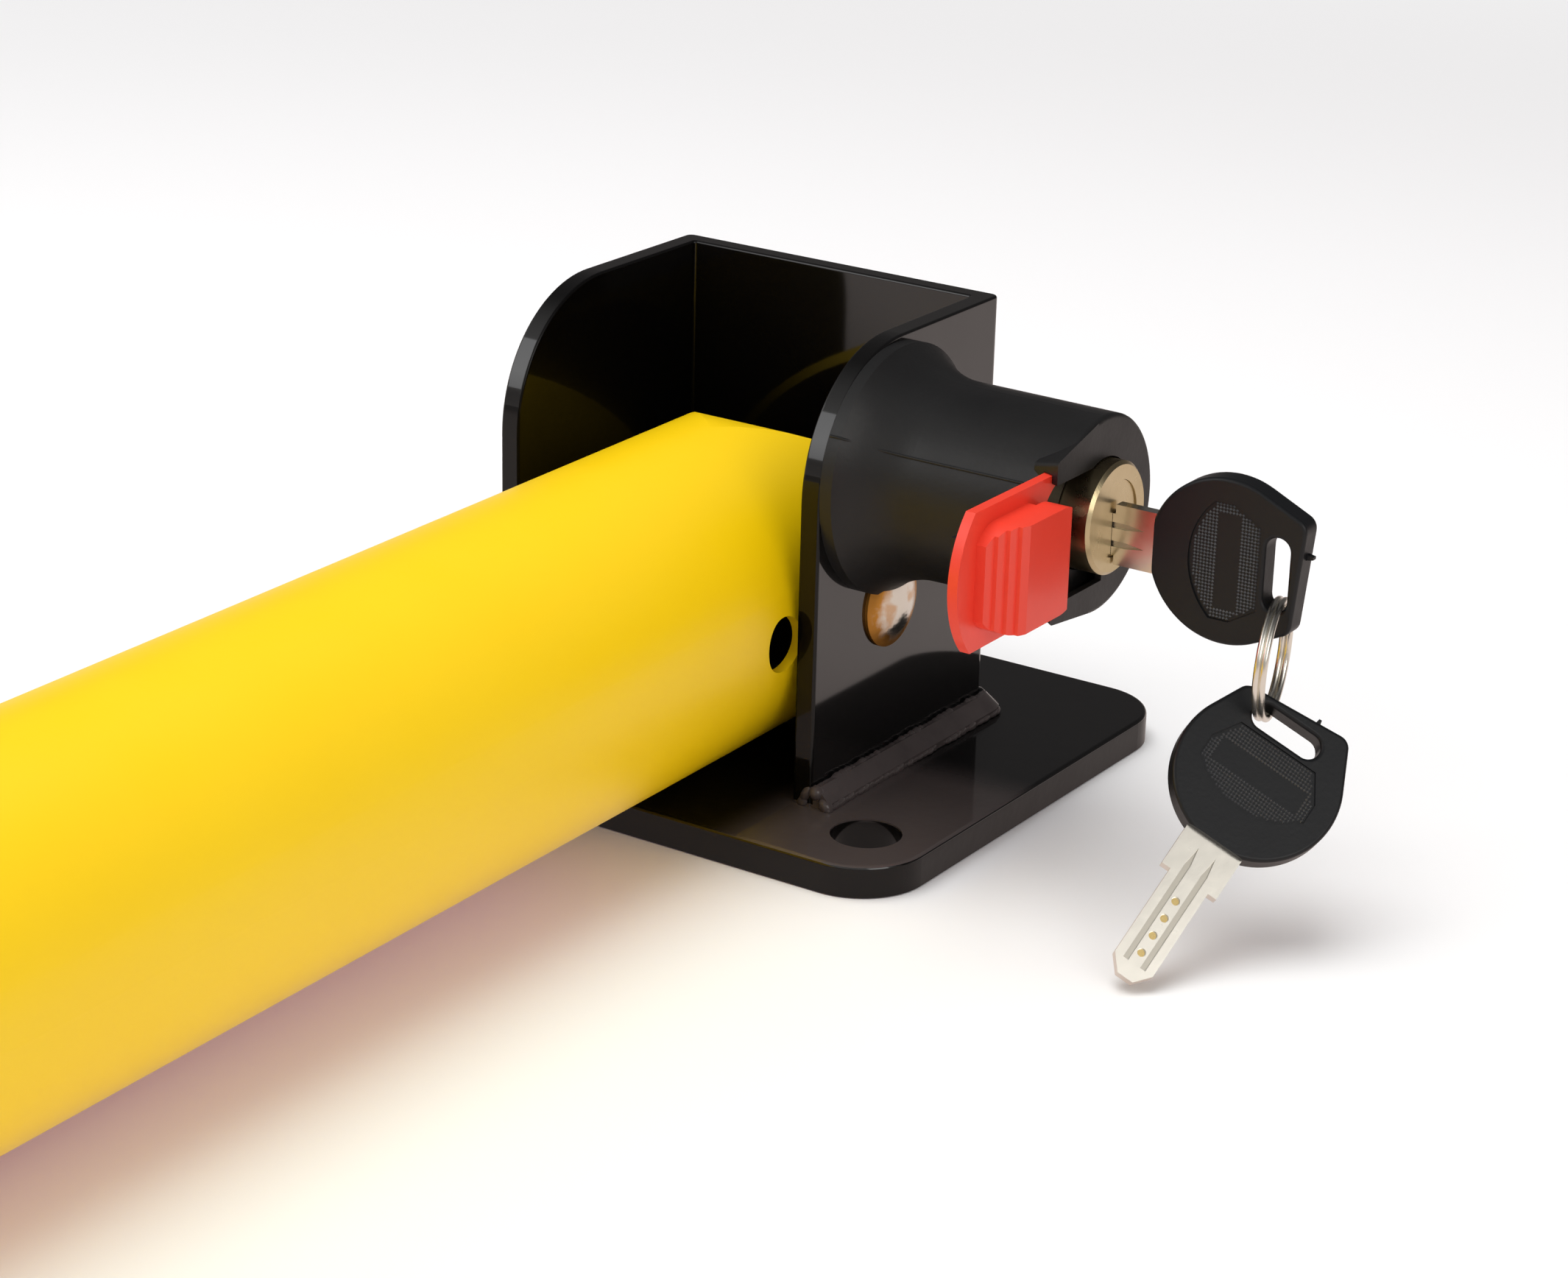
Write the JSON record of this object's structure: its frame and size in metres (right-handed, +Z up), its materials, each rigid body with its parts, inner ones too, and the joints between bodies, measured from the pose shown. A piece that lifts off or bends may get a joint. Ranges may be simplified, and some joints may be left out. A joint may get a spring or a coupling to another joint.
{
  "type": "folding parking post",
  "caption": "Fold-down parking post: round yellow tube lying in a black welded steel foot, locked upright by a key-operated push lock with a red dust slide.",
  "frame": {"origin": "underside of the base plate, directly below the lock's axis, in the middle between the bracket walls", "axes": "+X along the lock from the wall toward the key, +Y toward the bracket's back wall (the folded post lies along -Y), +Z up"},
  "size_m": [0.1941, 0.6618, 0.0889],
  "materials": {
    "black_paint": "gloss",
    "yellow_paint": "gloss",
    "zinc_steel": "bright",
    "plain_steel": "satin",
    "black_rubber": "satin",
    "brass": "satin",
    "nickel": "satin",
    "black_plastic": "satin",
    "red_plastic": "gloss"
  },
  "bodies": {
    "foot": {"base_plate": "black_paint", "bracket": "black_paint", "weld_bead": "black_paint", "pivot_bolt": "zinc_steel", "pivot_washer": "zinc_steel", "pivot_nut": "zinc_steel", "lock_tube": "plain_steel", "stop_screw": "plain_steel", "lock_cover": "black_rubber", "core_spring": "plain_steel"},
    "post": {"post_tube": "yellow_paint", "pivot_sleeve": "plain_steel", "post_end_cap": "black_plastic"},
    "lock_core": {"lock_barrel": "brass", "lock_bolt": "plain_steel", "driver_pins": "brass", "plug_retainer": "plain_steel", "latch_pin": "plain_steel"},
    "plug": {"lock_plug": "brass", "key_pins": "brass"},
    "key": {"key_blade": "nickel", "key_bow": "black_plastic"},
    "ring": {"key_ring": "nickel"},
    "spare_key": {"spare_key_blade": "nickel", "spare_key_bow": "black_plastic"},
    "slide": {"dust_slide": "red_plastic"}
  },
  "joints": [
    {"name": "post_fold", "type": "hinge", "parent": "foot", "child": "post", "pos_m": [0, 0.0016, 0.03855], "axis": [-1, 0, 0], "range_deg": [0, 90.66]},
    {"name": "core_push", "type": "slide", "parent": "foot", "child": "lock_core", "axis": [-1, 0, 0], "range_m": [0, 0.017], "stiffness_N_per_m": 250, "springref_m": -0.006, "deforming": ["core_spring"]},
    {"name": "key_turn", "type": "hinge", "parent": "lock_core", "child": "plug", "pos_m": [0.082, 0, 0.06485], "axis": [-1, 0, 0], "range_deg": [0, 40]},
    {"name": "key_withdraw", "type": "slide", "parent": "plug", "child": "key", "axis": [1, 0, 0], "range_m": [0, 0.064]},
    {"name": "ring_swing", "type": "hinge", "parent": "key", "child": "ring", "pos_m": [0.1141, 0, 0.05275], "axis": [-1, 0, 0], "range_deg": [-40, 0]},
    {"name": "spare_key_swing", "type": "hinge", "parent": "ring", "child": "spare_key", "pos_m": [0.11489, -0.00511, 0.03713], "axis": [0.2369, -0.8743, 0.4237], "range_deg": [-10, 5]},
    {"name": "slide_close", "type": "slide", "parent": "foot", "child": "slide", "axis": [0, 1, 0], "range_m": [0, 0.024]}
  ],
  "couplings": [
    {"joint": "key_withdraw", "follows": "core_push", "ratio": 3.7647},
    {"joint": "slide_close", "follows": "core_push", "ratio": 1.4118},
    {"joint": "ring_swing", "follows": "key_turn", "ratio": -1}
  ]
}
